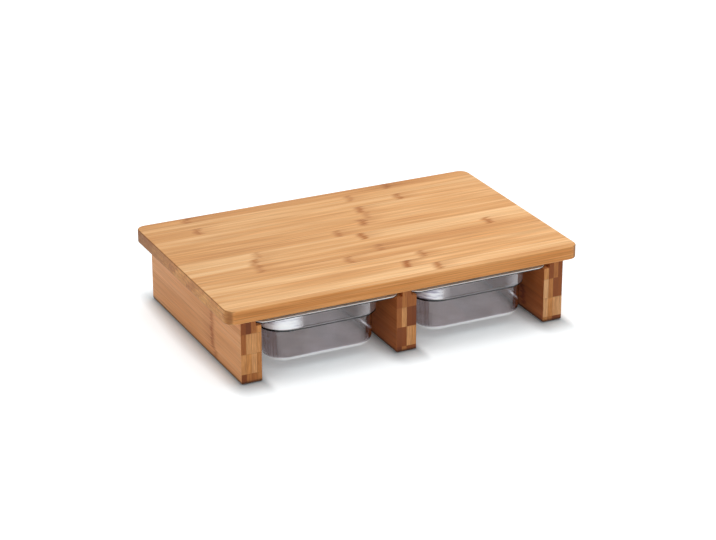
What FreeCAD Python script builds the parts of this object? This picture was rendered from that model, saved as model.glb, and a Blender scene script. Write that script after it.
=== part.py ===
"""Bamboo cutting board on three legs, with two clear trays that slide in rebates under it.

Millimetres, +Z up, +X to the right along the board, +Y to the back. The origin lies on the
floor, under the middle of the board. Every size is a cell of the spreadsheet "sizes", and the
formulas below it say where pieces meet.
"""
import FreeCAD, Part
import math
import os
import re
import Sketcher

DRIVING_SIZES = [
    ("board_width", 380.0, "board, along X"),
    ("board_depth", 240.0, "board, along Y"),
    ("board_thickness", 14.0, "board, along Z"),
    ("board_corner_radius", 10.0, "upright corners of the board"),
    ("board_edge_radius", 1.2, "eased top and bottom edges of the board"),
    ("side_overhang", 15.0, "board past the outer face of each outer leg"),
    ("end_overhang", 5.0, "board past the front and back ends of the legs"),
    ("leg_thickness", 21.5, "leg, along X"),
    ("leg_height", 65.0, "leg, along Z"),
    ("leg_edge_radius", 0.8, "eased edges of a leg"),
    ("rebate_width", 6.0, "rebate in a leg's top edge, along X"),
    ("rebate_height", 7.0, "rebate in a leg's top edge, along Z"),
    ("pad_diameter", 14.0, "non-slip pad under a leg"),
    ("pad_thickness", 1.0, "non-slip pad under a leg"),
    ("pad_edge_chamfer", 0.3, "chamfer round the lower edge of a pad"),
    ("pad_end_distance", 14.0, "pad centre from the end of its leg"),
    ("dowel_diameter", 6.0, "glued dowel between leg and board"),
    ("dowel_in_board", 9.0, "dowel length inside the board"),
    ("dowel_in_leg", 21.0, "dowel length inside the leg"),
    ("dowel_chamfer", 0.6, "chamfer on both ends of a dowel"),
    ("dowel_end_distance", 30.0, "outer dowel centre from the end of its leg"),
    ("dowel_glue_gap", 0.1, "glue film round a dowel"),
    ("dowel_end_gap", 1.0, "hole past each end of a dowel"),
    ("tray_side_play", 1.0, "flange edge to rebate wall, each side"),
    ("tray_end_setback", 1.0, "flange edge inside the ends of the legs"),
    ("tray_wall", 2.0, "walls and floor of a tray"),
    ("tray_floor_height", 7.5, "floor of a tray above the table, outside"),
    ("flange_thickness", 2.0, "flange of a tray"),
    ("flange_side_width", 15.0, "flange past the band, left and right"),
    ("flange_end_width", 5.0, "flange past the band, front and back"),
    ("flange_corner_radius", 12.0, "upright corners of the flange"),
    ("flange_edge_radius", 0.6, "rounded edges of the flange"),
    ("flange_root_radius", 1.5, "rounding where the band meets the flange"),
    ("band_height", 16.5, "upright band under the flange"),
    ("band_corner_radius", 25.0, "upright corners of the band"),
    ("shoulder_width", 3.5, "step from the band in to the lower body"),
    ("shoulder_radius", 1.2, "rounded edges of the shoulder"),
    ("body_draft_angle", 2.0, "draft of the lower body, degrees"),
    ("body_corner_radius", 21.5, "upright corners of the lower body"),
    ("floor_radius", 9.0, "outer rounding between floor and walls of a tray"),
]
SIZE_NAMES = [name for name, _, _ in DRIVING_SIZES]

# Where pieces meet, as formulas of the sizes.
LEG_TOP = "(pad_thickness + leg_height)"
LEG_LENGTH = "(board_depth - 2 * end_overhang)"
LEG_CENTRE = "(board_width / 2 - side_overhang - leg_thickness / 2)"
BAY_WIDTH = "(board_width / 2 - side_overhang - 1.5 * leg_thickness)"
BAY_CENTRE = f"({BAY_WIDTH} / 2 + leg_thickness / 2)"
REBATE_FLOOR = f"({LEG_TOP} - rebate_height)"
DOWEL_SHIFT = "(rebate_width / 2)"
DOWEL_SPAN = f"({LEG_LENGTH} - 2 * dowel_end_distance)"
DOWEL_HOLE_RADIUS = "(dowel_diameter / 2 + dowel_glue_gap)"
PAD_SPAN = f"({LEG_LENGTH} - 2 * pad_end_distance)"
FLANGE_WIDTH = f"({BAY_WIDTH} + 2 * rebate_width - 2 * tray_side_play)"
FLANGE_LENGTH = f"({LEG_LENGTH} - 2 * tray_end_setback)"
BAND_WIDTH = f"({FLANGE_WIDTH} - 2 * flange_side_width)"
BAND_LENGTH = f"({FLANGE_LENGTH} - 2 * flange_end_width)"
BAND_TOP = f"({REBATE_FLOOR} - tray_floor_height)"
SHOULDER = f"({BAND_TOP} - band_height)"
BODY_WIDTH = f"({BAND_WIDTH} - 2 * shoulder_width)"
BODY_LENGTH = f"({BAND_LENGTH} - 2 * shoulder_width)"
DRAFT_INSET = f"({SHOULDER} * tan(body_draft_angle * 1 deg))"

LEG_SIDES = {"left": -1, "middle": 0, "right": 1}
TRAY_SIDES = {"left": -1, "right": 1}
DOWEL_ROWS = {"front": -1, "centre": 0, "back": 1}
PAD_ROWS = {"front": -1, "back": 1}

ORIGIN_POINT = (-1, 1)
LINE_START, LINE_END, ARC_CENTRE = 1, 2, 3
NEAR = 1e-4

doc = FreeCAD.newDocument("cutting_board_with_trays")
sizes = doc.addObject("Spreadsheet::Sheet", "sizes")


def fill_sheet():
    for row, (name, value, meaning) in enumerate(DRIVING_SIZES, start=1):
        sizes.set(f"A{row}", meaning)
        sizes.set(f"B{row}", str(value))
        sizes.setAlias(f"B{row}", name)
    doc.recompute()


def bound(formula):
    """The formula with each size name turned into a reference to the sheet."""
    def cell(word):
        return f"sizes.{word[0]}" if word[0] in SIZE_NAMES else word[0]

    return re.sub(r"[a-z_]{4,}", cell, formula)


def value_of(formula):
    return float(sizes.evalExpression(bound(formula)))


# --- sketches -----------------------------------------------------------------------------

def add_body(name):
    body = doc.addObject("PartDesign::Body", name)
    body.Label = name
    return body


def place(body, along_x="0", along_y="0", along_z="0"):
    for axis, formula in (("x", along_x), ("y", along_y), ("z", along_z)):
        body.setExpression(f"Placement.Base.{axis}", bound(f"({formula}) * 1 mm"))


def add_sketch(body, name, plane="XY_Plane", height="0"):
    sketch = body.newObject("Sketcher::SketchObject", f"{body.Name}_{name}")
    origin_plane = [part for part in body.Origin.OriginFeatures if part.Role == plane][0]
    sketch.AttachmentSupport = (origin_plane, [""])
    sketch.MapMode = "FlatFace"
    sketch.setExpression("AttachmentOffset.Base.z", bound(f"({height}) * 1 mm"))
    return sketch


def bind(sketch, constraint, formula):
    """Adds a dimension to the sketch and ties it to its formula."""
    number = sketch.addConstraint(constraint)
    sketch.setExpression(f"Constraints[{number}]", bound(f"({formula}) * 1 mm"))


def draw_rectangle(sketch, low_x, high_x, low_y, high_y):
    left, right, bottom, top = (value_of(edge) for edge in (low_x, high_x, low_y, high_y))
    corners = [(left, bottom), (right, bottom), (right, top), (left, top)]
    for start, end in zip(corners, corners[1:] + corners[:1]):
        sketch.addGeometry(Part.LineSegment(FreeCAD.Vector(*start, 0), FreeCAD.Vector(*end, 0)))
    for line in range(4):
        sketch.addConstraint(Sketcher.Constraint("Coincident", line, LINE_END, (line + 1) % 4, LINE_START))
        sketch.addConstraint(Sketcher.Constraint("Vertical" if line % 2 else "Horizontal", line))
    bind(sketch, Sketcher.Constraint("DistanceX", *ORIGIN_POINT, 0, LINE_START, left), low_x)
    bind(sketch, Sketcher.Constraint("DistanceX", *ORIGIN_POINT, 0, LINE_END, right), high_x)
    bind(sketch, Sketcher.Constraint("DistanceY", *ORIGIN_POINT, 0, LINE_START, bottom), low_y)
    bind(sketch, Sketcher.Constraint("DistanceY", *ORIGIN_POINT, 2, LINE_START, top), high_y)


def draw_rounded_rectangle(sketch, width, length, radius):
    """Four lines and four tangent arcs round the sketch's origin."""
    half_x, half_y, arc_radius = value_of(width) / 2, value_of(length) / 2, value_of(radius)
    flat_x, flat_y = half_x - arc_radius, half_y - arc_radius
    lines = [
        ((-flat_x, -half_y), (flat_x, -half_y)),
        ((half_x, -flat_y), (half_x, flat_y)),
        ((flat_x, half_y), (-flat_x, half_y)),
        ((-half_x, flat_y), (-half_x, -flat_y)),
    ]
    centres = [(flat_x, -flat_y), (flat_x, flat_y), (-flat_x, flat_y), (-flat_x, -flat_y)]
    quarter = math.pi / 2
    for start, end in lines:
        sketch.addGeometry(Part.LineSegment(FreeCAD.Vector(*start, 0), FreeCAD.Vector(*end, 0)))
    for corner, centre in enumerate(centres):
        circle = Part.Circle(FreeCAD.Vector(*centre, 0), FreeCAD.Vector(0, 0, 1), arc_radius)
        sketch.addGeometry(Part.ArcOfCircle(circle, (corner - 1) * quarter, corner * quarter))
    for corner in range(4):
        arc, next_line = 4 + corner, (corner + 1) % 4
        sketch.addConstraint(Sketcher.Constraint("Tangent", corner, LINE_END, arc, LINE_START))
        sketch.addConstraint(Sketcher.Constraint("Tangent", arc, LINE_END, next_line, LINE_START))
        if corner:
            sketch.addConstraint(Sketcher.Constraint("Equal", 4, arc))
    for line in range(4):
        sketch.addConstraint(Sketcher.Constraint("Vertical" if line % 2 else "Horizontal", line))
    sketch.addConstraint(Sketcher.Constraint("Symmetric", 4, ARC_CENTRE, 6, ARC_CENTRE, *ORIGIN_POINT))
    bind(sketch, Sketcher.Constraint("Radius", 4, arc_radius), radius)
    bind(sketch, Sketcher.Constraint("DistanceX", *ORIGIN_POINT, 1, LINE_START, half_x), f"{width} / 2")
    bind(sketch, Sketcher.Constraint("DistanceY", *ORIGIN_POINT, 2, LINE_START, half_y), f"{length} / 2")


def draw_circle(sketch, radius, along_x="0", along_y="0"):
    centre_x, centre_y, circle_radius = value_of(along_x), value_of(along_y), value_of(radius)
    centre = FreeCAD.Vector(centre_x, centre_y, 0)
    circle = sketch.addGeometry(Part.Circle(centre, FreeCAD.Vector(0, 0, 1), circle_radius))
    bind(sketch, Sketcher.Constraint("Radius", circle, circle_radius), radius)
    bind(sketch, Sketcher.Constraint("DistanceX", *ORIGIN_POINT, circle, ARC_CENTRE, centre_x), along_x)
    bind(sketch, Sketcher.Constraint("DistanceY", *ORIGIN_POINT, circle, ARC_CENTRE, centre_y), along_y)


# --- features -----------------------------------------------------------------------------

def pad(body, sketch, length, name, symmetric=False):
    feature = body.newObject("PartDesign::Pad", f"{body.Name}_{name}")
    feature.Profile = sketch
    feature.SideType = "Symmetric" if symmetric else "One side"
    feature.setExpression("Length", bound(f"({length}) * 1 mm"))
    doc.recompute()
    return feature


def pocket(body, sketch, depth, name, upwards=False, symmetric=False):
    """Cuts down from the sketch, or upwards, and makes sure that it took material away."""
    before = body.Shape.Volume
    feature = body.newObject("PartDesign::Pocket", f"{body.Name}_{name}")
    feature.Profile = sketch
    feature.Reversed = upwards
    feature.SideType = "Symmetric" if symmetric else "One side"
    feature.setExpression("Length", bound(f"({depth}) * 1 mm"))
    doc.recompute()
    if body.Shape.Volume >= before - NEAR:
        raise RuntimeError(f"{feature.Name} cut nothing")
    return feature


def loft(body, kind, first, last, name):
    feature = body.newObject(f"PartDesign::{kind}", f"{body.Name}_{name}")
    feature.Profile = first
    feature.Sections = [last]
    feature.Ruled = True
    doc.recompute()
    return feature


def edges_where(feature, test):
    """Names of the feature's edges whose ends, and middle, all pass the test."""
    names = []
    for number, edge in enumerate(feature.Shape.Edges, start=1):
        points = [edge.valueAt(edge.FirstParameter), edge.valueAt(edge.LastParameter)]
        points.append(edge.valueAt((edge.FirstParameter + edge.LastParameter) / 2))
        if all(test(point) for point in points):
            names.append(f"Edge{number}")
    return names


def at_height(*formulas):
    heights = [value_of(formula) for formula in formulas]
    return lambda point: any(abs(point.z - height) < NEAR for height in heights)


def dress(body, kind, base, edge_names, size_formula, name):
    """A fillet or chamfer on the named edges of the feature before it."""
    feature = body.newObject(f"PartDesign::{kind}", f"{body.Name}_{name}")
    feature.Base = (base, edge_names)
    size_property = "Radius" if kind == "Fillet" else "Size"
    feature.setExpression(size_property, bound(f"({size_formula}) * 1 mm"))
    doc.recompute()
    return feature


# --- pieces -------------------------------------------------------------------------------

def make_board():
    """The glued slab, with blind holes for the dowels in its underside."""
    board = add_body("cutting_board")
    place(board, along_z=LEG_TOP)
    outline = add_sketch(board, "outline")
    draw_rounded_rectangle(outline, "board_width", "board_depth", "board_corner_radius")
    slab = pad(board, outline, "board_thickness", "slab")
    rims = edges_where(slab, at_height("0", "board_thickness"))
    dress(board, "Fillet", slab, rims, "board_edge_radius", "eased_edges")
    holes = add_sketch(board, "hole_centres")
    for side in LEG_SIDES.values():
        along_x = f"{side} * ({LEG_CENTRE} + {DOWEL_SHIFT})"
        for row in DOWEL_ROWS.values():
            draw_circle(holes, DOWEL_HOLE_RADIUS, along_x, f"{row} * {DOWEL_SPAN} / 2")
    pocket(board, holes, "dowel_in_board + dowel_end_gap", "dowel_holes", upwards=True)
    return board


def make_leg(name, side):
    """A skid on edge: a rebate along each top edge that faces a tray, and dowel holes in its top."""
    leg = add_body(f"{name}_leg")
    place(leg, f"{side} * {LEG_CENTRE}", "0", "pad_thickness")
    section = add_sketch(leg, "section", "XZ_Plane")
    draw_rectangle(section, "-leg_thickness / 2", "leg_thickness / 2", "0", "leg_height")
    plank = pad(leg, section, LEG_LENGTH, "plank", symmetric=True)
    for tray_side in TRAY_SIDES.values():
        if tray_side == side:
            continue
        rebate = add_sketch(leg, f"rebate_{'right' if tray_side > 0 else 'left'}", "XZ_Plane")
        wall, face = f"{tray_side} * (leg_thickness / 2 - rebate_width)", f"{tray_side} * leg_thickness / 2"
        low_x, high_x = (wall, face) if tray_side > 0 else (face, wall)
        draw_rectangle(rebate, low_x, high_x, "leg_height - rebate_height", "leg_height")
        plank = pocket(leg, rebate, f"{LEG_LENGTH}", f"{rebate.Label}_cut", symmetric=True)
    on_foot = at_height("0")
    half = value_of("leg_thickness / 2")

    def on_outside(point):
        return on_foot(point) or abs(abs(point.x) - half) < NEAR

    against_board = edges_where(plank, at_height("leg_height"))
    eased = [edge for edge in edges_where(plank, on_outside) if edge not in against_board]
    plank = dress(leg, "Fillet", plank, eased, "leg_edge_radius", "eased_edges")
    holes = add_sketch(leg, "hole_centres", height="leg_height")
    for row in DOWEL_ROWS.values():
        draw_circle(holes, DOWEL_HOLE_RADIUS, f"{side} * {DOWEL_SHIFT}", f"{row} * {DOWEL_SPAN} / 2")
    pocket(leg, holes, "dowel_in_leg + dowel_end_gap", "dowel_holes")
    return leg


def make_dowel(name, side, row):
    dowel = add_body(name)
    place(
        dowel,
        f"{side} * ({LEG_CENTRE} + {DOWEL_SHIFT})",
        f"{row} * {DOWEL_SPAN} / 2",
        f"{LEG_TOP} - dowel_in_leg",
    )
    section = add_sketch(dowel, "section")
    draw_circle(section, "dowel_diameter / 2")
    rod = pad(dowel, section, "dowel_in_leg + dowel_in_board", "rod")
    ends = edges_where(rod, at_height("0", "dowel_in_leg + dowel_in_board"))
    dress(dowel, "Chamfer", rod, ends, "dowel_chamfer", "chamfered_ends")
    return dowel


def make_pad(name, side, row):
    """A thin self-adhesive disc that keeps the leg off the table."""
    disc = add_body(name)
    place(disc, f"{side} * {LEG_CENTRE}", f"{row} * {PAD_SPAN} / 2", "0")
    section = add_sketch(disc, "section")
    draw_circle(section, "pad_diameter / 2")
    plate = pad(disc, section, "pad_thickness", "plate")
    dress(disc, "Chamfer", plate, edges_where(plate, at_height("0")), "pad_edge_chamfer", "chamfered_edge")
    return disc


def make_tray(name, side):
    """A moulded tray that hangs by its flange: lower body with draft, shoulder, band, flange."""
    tray = add_body(f"{name}_tray")
    place(tray, f"{side} * {BAY_CENTRE}", "0", "tray_floor_height")

    def outline(label, height, width, length, radius, inset):
        sketch = add_sketch(tray, label, height=height)
        inner_width, inner_length = (f"({full} - 2 * ({inset}))" for full in (width, length))
        draw_rounded_rectangle(sketch, inner_width, inner_length, f"({radius} - ({inset}))")
        return sketch

    floor_line = outline("floor_line", "0", BODY_WIDTH, BODY_LENGTH, "body_corner_radius", DRAFT_INSET)
    body_line = outline("body_line", SHOULDER, BODY_WIDTH, BODY_LENGTH, "body_corner_radius", "0")
    loft(tray, "AdditiveLoft", floor_line, body_line, "lower_body")
    band_line = outline("band_line", SHOULDER, BAND_WIDTH, BAND_LENGTH, "band_corner_radius", "0")
    pad(tray, band_line, "band_height", "band")
    flange_line = outline("flange_line", BAND_TOP, FLANGE_WIDTH, FLANGE_LENGTH, "flange_corner_radius", "0")
    outside = pad(tray, flange_line, "flange_thickness", "flange")

    rim = f"{BAND_TOP} + flange_thickness"
    mouth = outline("mouth", rim, BAND_WIDTH, BAND_LENGTH, "band_corner_radius", "tray_wall")
    pocket(tray, mouth, "band_height + flange_thickness - tray_wall", "band_hollow")
    ledge = f"{SHOULDER} + tray_wall"
    ledge_line = outline("ledge_line", ledge, BODY_WIDTH, BODY_LENGTH, "body_corner_radius", "tray_wall")
    inset = f"{DRAFT_INSET} + tray_wall"
    basin_line = outline("basin_line", "tray_wall", BODY_WIDTH, BODY_LENGTH, "body_corner_radius", inset)
    shell = loft(tray, "SubtractiveLoft", ledge_line, basin_line, "body_hollow")

    inner_half = value_of(f"{BAND_WIDTH} / 2 - tray_wall"), value_of(f"{BAND_LENGTH} / 2 - tray_wall")
    band_half = value_of(f"{BAND_WIDTH} / 2"), value_of(f"{BAND_LENGTH} / 2")

    def within(half, point):
        return abs(point.x) < half[0] + NEAR and abs(point.y) < half[1] + NEAR

    def on_flange(point):
        return not within(band_half, point)

    def outside_band(point):
        return not within(inner_half, point) and within(band_half, point)

    def rounding(name, radius, height, where=lambda point: True):
        level = at_height(height)
        edges = edges_where(shell, lambda point: level(point) and where(point))
        return dress(tray, "Fillet", shell, edges, radius, name)

    shell = rounding("basin_rounding", "floor_radius - tray_wall", "tray_wall")
    shell = rounding("ledge_rounding", "shoulder_radius", ledge, lambda point: within(inner_half, point))
    shell = rounding("floor_rounding", "floor_radius", "0")
    shell = rounding("shoulder_rounding", "shoulder_radius", SHOULDER)
    shell = rounding("root_rounding", "flange_root_radius", BAND_TOP, outside_band)
    shell = rounding("flange_lower_rounding", "flange_edge_radius", BAND_TOP, on_flange)
    rounding("flange_upper_rounding", "flange_edge_radius", rim)
    return tray


def check(parts):
    """Every feature has to be free of errors, and each piece one valid solid."""
    broken = [item.Name for item in doc.Objects if "Invalid" in item.State or "Error" in item.State]
    if broken:
        raise RuntimeError(f"features failed: {broken}")
    for part in parts:
        if part.Shape.isNull() or not part.Shape.isValid() or len(part.Shape.Solids) != 1:
            raise RuntimeError(f"{part.Label} is not one valid solid")


def write(parts):
    os.makedirs("parts", exist_ok=True)
    for part in parts:
        part.Shape.exportStep(f"parts/{part.Label}.step")


def main():
    fill_sheet()
    parts = [make_board()]
    for name, side in LEG_SIDES.items():
        parts.append(make_leg(name, side))
        for row_name, row in DOWEL_ROWS.items():
            parts.append(make_dowel(f"{name}_dowel_{row_name}", side, row))
        for row_name, row in PAD_ROWS.items():
            parts.append(make_pad(f"{name}_pad_{row_name}", side, row))
    for name, side in TRAY_SIDES.items():
        parts.append(make_tray(name, side))
    doc.recompute()
    check(parts)
    write(parts)


main()
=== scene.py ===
"""The looks of a bamboo cutting board on three legs with two clear trays under it."""
import math
import bpy
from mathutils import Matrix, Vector


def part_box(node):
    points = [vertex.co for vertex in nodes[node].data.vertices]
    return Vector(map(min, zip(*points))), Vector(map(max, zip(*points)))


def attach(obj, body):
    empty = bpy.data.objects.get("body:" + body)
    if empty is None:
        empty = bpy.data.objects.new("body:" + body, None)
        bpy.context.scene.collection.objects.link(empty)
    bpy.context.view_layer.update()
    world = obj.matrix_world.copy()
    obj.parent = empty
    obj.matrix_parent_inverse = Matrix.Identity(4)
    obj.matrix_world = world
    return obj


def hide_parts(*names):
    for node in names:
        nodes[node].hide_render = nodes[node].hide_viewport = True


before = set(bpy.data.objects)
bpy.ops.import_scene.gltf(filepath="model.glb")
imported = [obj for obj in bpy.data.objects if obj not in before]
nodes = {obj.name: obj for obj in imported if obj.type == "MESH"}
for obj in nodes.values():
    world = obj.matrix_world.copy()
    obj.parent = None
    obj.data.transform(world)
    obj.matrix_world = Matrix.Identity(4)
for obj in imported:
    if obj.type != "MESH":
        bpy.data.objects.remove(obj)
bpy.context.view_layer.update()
MM = 0.001

BOARD_LOW, BOARD_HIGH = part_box("cutting_board")
BOARD_LAYERS = 3
STRIP_WIDTH = 16.73 * MM
# The strip along the board's back edge is cut down to this width.
FIRST_STRIP = 15.5 * MM
LEG_LAYERS = 4
LEG_STRIP_WIDTH = 20.6 * MM
# The layers start this far outside the wood, so that no surface lies just where one layer meets the next.
SKIN = 0.1 * MM

# Sizes of a tray in mm; heights are above the floor that the object stands on.
TRAY_SIZES = {
    "Band Half Width": 61.375,
    "Band Half Length": 109.0,
    "Band Radius": 25.0,
    "Flange Side": 15.0,
    "Flange End": 5.0,
    "Flange Radius": 12.0,
    "Flange Rounding": 0.6,
    "Root Rounding": 1.5,
    "Wall": 2.0,
    "Shoulder Width": 3.5,
    "Shoulder Rounding": 1.2,
    "Draft Inset": 1.22,
    "Floor Rounding": 9.0,
    "Floor Height": 7.5,
    "Shoulder Height": 42.5,
    "Flange Height": 59.0,
}
# Points round each upright corner of a tray, and round each rounding of its cross-section.
CORNER_POINTS = 15
ROUNDING_POINTS = 6
# Points of a tray that lie closer together than this become one.
WELD = 0.01 * MM

CAMERA_PLACE, CAMERA_TARGET = Vector((-0.92599, -1.90216, 0.93686)), Vector((0.04717, 0.08941, 0.0))
CAMERA_LENS = 114.22
LAMP_TARGET = Vector((0.0, 0.0, 0.05))
FLOOR_REACH = 8.0


def linear(hex_colour):
    """An sRGB hex colour, such as #e6b27d, as linear RGBA."""
    channels = [int(hex_colour[start:start + 2], 16) / 255 for start in (1, 3, 5)]
    return [c / 12.92 if c <= 0.04045 else ((c + 0.055) / 1.055) ** 2.4 for c in channels] + [1.0]


def add(tree, kind, inputs=None, output=0, stops=None, **settings):
    """Adds a node with its settings, sets or links its inputs, and returns one of its outputs.

    Inputs go by name or number. Of a Map Range 0 is the value, 1 and 2 are the range it comes from, and
    3 and 4 the range it goes to. Of a colour Mix 0 is the share, and 6 and 7 are the colours. The stops
    of a colour ramp are pairs of position and colour.
    """
    made = tree.nodes.new(kind)
    for name, value in settings.items():
        setattr(made, name, value)
    for name, value in (inputs or {}).items():
        if isinstance(value, bpy.types.NodeSocket):
            tree.links.new(value, made.inputs[name])
        else:
            made.inputs[name].default_value = value
    if stops:
        while len(made.color_ramp.elements) < len(stops):
            made.color_ramp.elements.new(1.0)
        for element, (position, colour) in zip(made.color_ramp.elements, stops):
            element.position = position
            element.color = colour
    return made.outputs[output] if len(made.outputs) else made


def new_material(name):
    material = bpy.data.materials.new(name)
    material.use_nodes = True
    tree = material.node_tree
    tree.nodes.clear()
    return material, tree


def opaque_surface(tree, colour, roughness, pattern, strength, depth, **gloss):
    """Ends a material that lets no light through, with a relief this deep drawn by a pattern."""
    relief = add(tree, "ShaderNodeBump", {"Height": pattern, "Strength": strength, "Distance": depth})
    surface = add(tree, "ShaderNodeBsdfPrincipled", {
        "Base Color": colour, "Roughness": roughness, "Normal": relief, **gloss,
    })
    add(tree, "ShaderNodeOutputMaterial", {"Surface": surface})


def seen_directly(tree):
    """1 for what the camera sees, also by reflection or through the clear plastic, and 0 for other light."""
    rays = add(tree, "ShaderNodeLightPath").node.outputs
    seen = rays["Is Camera Ray"]
    for ray in ("Is Glossy Ray", "Is Transmission Ray"):
        seen = add(tree, "ShaderNodeMath", {0: seen, 1: rays[ray]}, operation="MAXIMUM")
    return seen


def new_object(name, data):
    made = bpy.data.objects.new(name, data)
    bpy.context.scene.collection.objects.link(made)
    return made


# --- the pattern of glued bamboo strips -----------------------------------------------------

def make_strip_pattern():
    """A group that tells where a point lies in a block glued up from flat bamboo strips.

    Place is (along the fibre, across the strips, down through the layers), in metres. Stagger is how far
    each layer is shifted against the one above it, as a share of a strip's width.
    """
    tree = bpy.data.node_groups.new("glued_bamboo_strips", "ShaderNodeTree")
    tree.interface.new_socket("Place", in_out="INPUT", socket_type="NodeSocketVector")
    for name in ("Strip Width", "Layer Thickness", "Stagger", "Seed"):
        tree.interface.new_socket(name, in_out="INPUT", socket_type="NodeSocketFloat")
    tree.interface.new_socket("Chance", in_out="OUTPUT", socket_type="NodeSocketColor")
    for name in (
        "Tone", "Strip", "Across", "Layer", "Fibre", "Fine Fibre", "Cloud", "Bundles",
        "Strip Line", "Layer Line",
    ):
        tree.interface.new_socket(name, in_out="OUTPUT", socket_type="NodeSocketFloat")
    given = add(tree, "NodeGroupInput").node.outputs
    place, width, thickness = given["Place"], given["Strip Width"], given["Layer Thickness"]
    axes = add(tree, "ShaderNodeSeparateXYZ", {0: place}).node.outputs

    depth = add(tree, "ShaderNodeMath", {0: axes[2], 1: thickness}, operation="DIVIDE")
    layer = add(tree, "ShaderNodeMath", {0: depth}, operation="FLOOR")
    in_layer = add(tree, "ShaderNodeMath", {0: depth}, operation="FRACT")
    shift = add(tree, "ShaderNodeMath", {0: layer, 1: given["Stagger"]}, operation="MULTIPLY")
    count = add(tree, "ShaderNodeMath", {0: axes[1], 1: width}, operation="DIVIDE")
    row = add(tree, "ShaderNodeMath", {0: count, 1: shift}, operation="ADD")
    strip = add(tree, "ShaderNodeMath", {0: row}, operation="FLOOR")
    in_strip = add(tree, "ShaderNodeMath", {0: row}, operation="FRACT")

    cell = add(tree, "ShaderNodeCombineXYZ", {0: strip, 1: layer, 2: given["Seed"]})
    chance = add(tree, "ShaderNodeTexWhiteNoise", {"Vector": cell}, output="Color", noise_dimensions="3D")
    tone = chance.node.outputs["Value"]
    # Each strip takes its patterns from a place of its own, some metres away.
    jump = add(tree, "ShaderNodeVectorMath", {0: chance, "Scale": 7.0}, operation="SCALE")
    own_place = add(tree, "ShaderNodeVectorMath", {0: place, 1: jump}, operation="ADD")

    # Each pattern's scale is how often it repeats in a metre along, across and down through a strip.
    patterns = []
    for scale, detail, roughness in (
        # Streaks along a strip, 150 mm long and 3 mm wide.
        ((7.0, 330.0, 330.0), 2.0, 0.6),
        # Single fibres, 60 mm long and 0.8 mm wide, about twice as coarse as real ones so that they show.
        ((16.0, 1250.0, 1250.0), 2.0, 0.6),
        # Broad clouds along a strip, 120 mm long and 8 mm wide.
        ((8.0, 120.0, 120.0), 1.0, 0.5),
        # End grain: rows of fibre bundles, 1 mm apart through a strip, that run on for 14 mm across it.
        ((30.0, 70.0, 1000.0), 3.0, 0.65),
    ):
        scaled = add(tree, "ShaderNodeVectorMath", {0: own_place, 1: scale}, operation="MULTIPLY")
        patterns.append(add(tree, "ShaderNodeTexNoise", {
            "Vector": scaled, "Scale": 1.0, "Detail": detail, "Roughness": roughness,
        }))
    fibre, fine, cloud, rows = patterns
    bundles = add(tree, "ShaderNodeMapRange", {0: rows, 1: 0.35, 2: 0.68})

    # Dark lines at the glued joints between strips and between layers, stronger by some strips. Their
    # widths are shares of a strip's width and of a layer's thickness.
    line, layer_line = (
        add(tree, "ShaderNodeMapRange", {
            0: across, 2: line_width, 3: 1.0, 4: 0.0,
        }, interpolation_type="SMOOTHSTEP")
        for across, line_width in ((in_strip, 0.07), (in_layer, 0.12))
    )
    line = add(tree, "ShaderNodeMath", {0: line, 1: tone}, operation="MULTIPLY")
    add(tree, "NodeGroupOutput", {
        "Tone": tone, "Chance": chance, "Strip": strip, "Layer": layer, "Fibre": fibre, "Fine Fibre": fine,
        "Cloud": cloud, "Strip Line": line, "Layer Line": layer_line, "Bundles": bundles, "Across": in_strip,
    })
    return tree


STRIP_PATTERN = make_strip_pattern()

# The board's top strips, from the back: how light the strip is, from 0 to 1, and where its knuckles
# are, in mm from the middle of the board. A knuckle at OFF_BOARD lies beyond the board's end.
OFF_BOARD = 400
TOP_STRIPS = [
    (0.1, -136, 90), (0.5, 40, OFF_BOARD), (0.4, -137, 89), (0.6, 36, OFF_BOARD),
    (0.8, 36, OFF_BOARD), (0.4, 24, OFF_BOARD), (0.4, -12, OFF_BOARD), (0.9, -109, 7),
    (0.8, -119, 141), (0.1, -120, 9), (0.6, -32, OFF_BOARD), (0.9, 39, OFF_BOARD),
    (0.5, 14, OFF_BOARD), (1.0, 41, OFF_BOARD), (0.5, 205, OFF_BOARD),
]


# How strong and how deep the fibres' relief is, and how oiled bamboo shines.
BAMBOO_RELIEF = (0.3, 0.12 * MM)
BAMBOO_GLOSS = {"IOR": 1.47, "Specular IOR Level": 0.3}


def knuckle_mark(tree, along, centre, strips, chance):
    """How strongly a bamboo knuckle shows: a ragged brown scar with a smear of darker fibres beyond it."""
    gap = add(tree, "ShaderNodeMath", {0: along, 1: centre}, operation="SUBTRACT")
    # The scar slants across the strip, its edges are ragged by single fibres, and streaks bend it.
    for pattern, wander in (("Across", 3.0 * MM), ("Fine Fibre", 12.0 * MM), ("Fibre", 16.0 * MM)):
        shift = add(tree, "ShaderNodeMath", {
            0: strips[pattern], 1: wander, 2: -wander / 2,
        }, operation="MULTIPLY_ADD")
        gap = add(tree, "ShaderNodeMath", {0: gap, 1: shift}, operation="ADD")
    distance = add(tree, "ShaderNodeMath", {0: gap}, operation="ABSOLUTE")
    scar = add(tree, "ShaderNodeMapRange", {0: distance, 1: 1.0 * MM, 2: 7.0 * MM, 3: 1.0, 4: 0.0})
    beyond = add(tree, "ShaderNodeMath", {0: gap, 1: 0.0}, operation="GREATER_THAN")
    smear = add(tree, "ShaderNodeMapRange", {0: distance, 2: 26.0 * MM, 3: 0.4, 4: 0.0})
    smear = add(tree, "ShaderNodeMath", {0: smear, 1: beyond}, operation="MULTIPLY")
    mark = add(tree, "ShaderNodeMath", {0: scar, 1: smear}, operation="MAXIMUM")
    strength = add(tree, "ShaderNodeMapRange", {0: chance, 3: 0.4, 4: 1.0})
    return add(tree, "ShaderNodeMath", {0: mark, 1: strength}, operation="MULTIPLY")


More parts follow.
